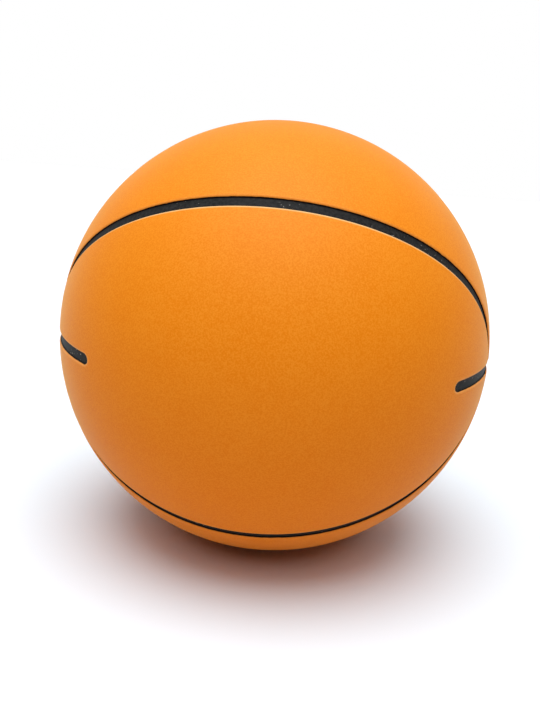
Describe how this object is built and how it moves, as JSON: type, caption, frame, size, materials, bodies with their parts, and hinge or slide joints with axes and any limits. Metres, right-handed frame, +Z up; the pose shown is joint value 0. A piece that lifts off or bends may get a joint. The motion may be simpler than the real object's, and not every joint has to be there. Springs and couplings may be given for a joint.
{
  "type": "mini basketball",
  "caption": "Small hollow rubber bounce ball in the basketball style, with black lines in moulded channels, for indoor play.",
  "frame": {"origin": "centre of the ball", "axes": "+Z up, -Y towards the middle of the front panel, X along the equator line towards the ball's right side as seen from the front"},
  "size_m": [0.0898, 0.09, 0.0899],
  "materials": {
    "orange_rubber": "matte moulded rubber with a very fine grain",
    "black_line": "satin black paint on rubber",
    "rubber_cement": "cured cement, hidden inside the joint"
  },
  "bodies": {
    "root": {"front_half_shell": "orange_rubber", "back_half_shell": "orange_rubber", "seam_cement": "rubber_cement", "equator_line_left": "black_line", "equator_line_right": "black_line", "meridian_line_upper": "black_line", "meridian_line_lower": "black_line", "front_loop_upper": "black_line", "front_loop_lower": "black_line", "back_loop_upper": "black_line", "back_loop_lower": "black_line"}
  },
  "joints": []
}
